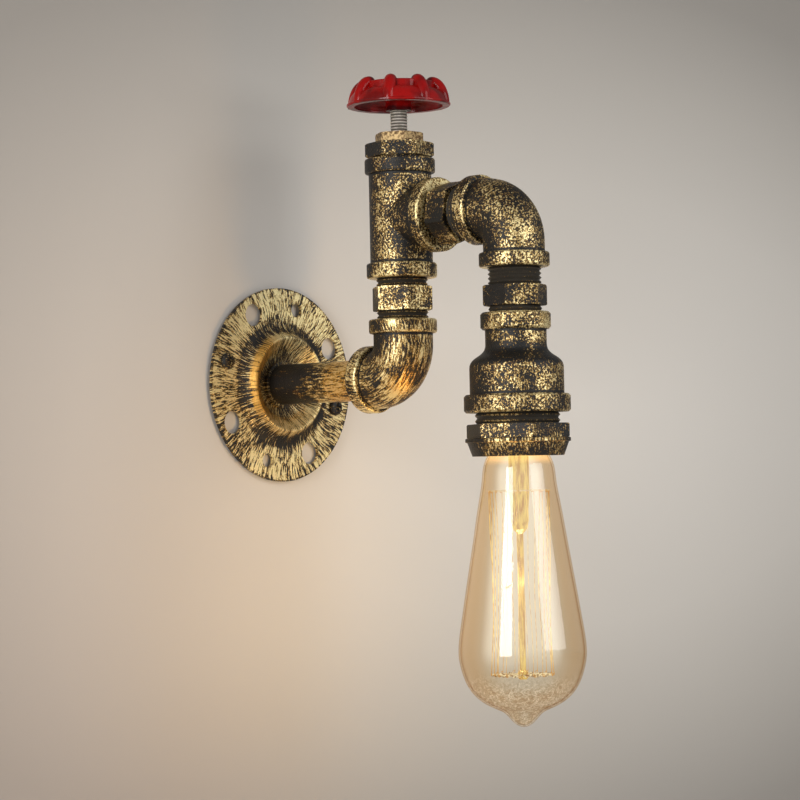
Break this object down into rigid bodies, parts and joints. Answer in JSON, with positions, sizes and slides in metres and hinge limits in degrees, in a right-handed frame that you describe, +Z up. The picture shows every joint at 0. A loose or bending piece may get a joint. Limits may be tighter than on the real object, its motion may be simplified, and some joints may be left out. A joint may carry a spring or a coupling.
{
  "type": "industrial pipe wall light",
  "caption": "Wall light of threaded pipe fittings: round drilled plate, elbow, tee with a valve handwheel, bell-shaped lampholder hanging down and a long filament bulb.",
  "frame": {"origin": "centre of the mounting bracket's back face on the wall, on the supply pipe's axis", "axes": "+Z up, along the tower, the drop and the lamp's height; +Y into the wall, out of the bracket's back face; -Y into the room; the whole pipe run lies in the plane X = 0"},
  "size_m": [0.1032, 0.1975, 0.3268],
  "materials": {
    "antique_brass": "antique brass brushed over black",
    "antique_brass_sheet": "antique brass brushed over black",
    "antique_brass_screw": "antique brass",
    "zinc_steel": "zinc plated",
    "plain_brass": "bare",
    "cap_brass": "bare, rolled",
    "gland_brass": "worn",
    "stem_steel": "turned",
    "red_paint": "gloss",
    "white_porcelain": "glazed",
    "amber_glass": "clear amber",
    "clear_glass": "clear",
    "black_glass": "gloss",
    "solder": "satin",
    "filament_wire": "glowing when lit",
    "live_insulation": "satin",
    "neutral_insulation": "satin",
    "earth_insulation": "satin"
  },
  "bodies": {
    "lamp": {"wall_plate": "antique_brass_sheet", "mounting_bracket": "zinc_steel", "plate_screws": "antique_brass_screw", "earth_screw": "plain_brass", "earth_lug": "zinc_steel", "earth_lead": "earth_insulation", "supply_pipe": "antique_brass_sheet", "lower_elbow": "antique_brass", "tower_nipple": "antique_brass", "tee": "antique_brass", "side_nipple": "antique_brass", "upper_elbow": "antique_brass", "drop_nipple": "antique_brass", "bell_reducer": "antique_brass", "holder_bushing": "antique_brass", "holder_rim": "antique_brass", "lampholder_porcelain": "white_porcelain", "lampholder_shell": "plain_brass", "lampholder_contact": "plain_brass", "terminal_blocks": "plain_brass", "terminal_screws": "zinc_steel", "top_plug": "antique_brass", "gland_nut": "gland_brass", "live_lead": "live_insulation", "neutral_lead": "neutral_insulation", "lead_ferrules": "zinc_steel"},
    "stem_lift": {"stem_stop": "stem_steel"},
    "wheel_set": {"valve_stem": "stem_steel", "handwheel": "red_paint", "wheel_washer": "zinc_steel", "wheel_screw": "zinc_steel"},
    "bulb_lift": {"bulb_tip": "solder"},
    "bulb": {"bulb_glass": "amber_glass", "bulb_cap": "cap_brass", "bulb_insulator": "black_glass", "bulb_mount": "clear_glass", "bulb_filament": "filament_wire", "bulb_supports": "filament_wire"}
  },
  "joints": [
    {"name": "stem_rise", "type": "slide", "parent": "lamp", "child": "stem_lift", "axis": [0, 0, 1], "range_m": [-0.009, 0.003]},
    {"name": "wheel_turn", "type": "hinge", "parent": "stem_lift", "child": "wheel_set", "pos_m": [0, -0.0913, 0.1368], "axis": [0, 0, 1], "range_deg": [-2160, 720]},
    {"name": "bulb_out", "type": "slide", "parent": "lamp", "child": "bulb_lift", "axis": [0, 0, -1], "range_m": [0, 0.02172]},
    {"name": "bulb_turn", "type": "hinge", "parent": "bulb_lift", "child": "bulb", "pos_m": [0, -0.1662, -0.0411], "axis": [0, 0, -1], "range_deg": [0, 2160]}
  ],
  "couplings": [
    {"joint": "stem_rise", "follows": "wheel_turn", "m_per_rad": 0.00023873},
    {"joint": "bulb_out", "follows": "bulb_turn", "m_per_rad": 0.00057614}
  ]
}
